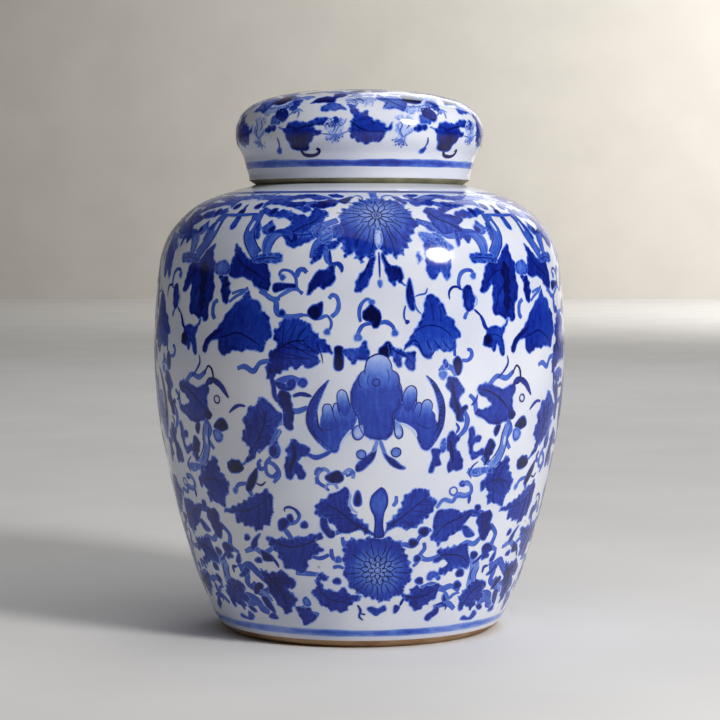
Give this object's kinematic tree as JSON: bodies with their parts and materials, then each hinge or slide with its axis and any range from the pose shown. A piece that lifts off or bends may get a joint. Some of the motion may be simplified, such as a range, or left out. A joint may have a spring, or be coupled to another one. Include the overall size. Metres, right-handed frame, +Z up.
{
  "type": "ginger jar",
  "caption": "Lidded porcelain storage jar with a swelling body, round shoulder, hidden neck and a domed lift-off cap lid.",
  "frame": {"origin": "centre of the foot ring's flat face, on the jar's axis", "axes": "+Z up along the axis of rotation, through the lid; +X and +Y lie in the plane that the jar stands on"},
  "size_m": [0.204, 0.204, 0.2667],
  "materials": {
    "body_glaze": "clear gloss glaze over cobalt painting on white porcelain",
    "lid_glaze": "clear gloss glaze over cobalt painting on white porcelain"
  },
  "bodies": {
    "jar": {"jar_body": "body_glaze"},
    "lid": {"lid": "lid_glaze"}
  },
  "joints": [
    {"name": "lid_lift", "type": "slide", "parent": "jar", "child": "lid", "axis": [0, 0, 1], "range_m": [0, 0.12]}
  ]
}
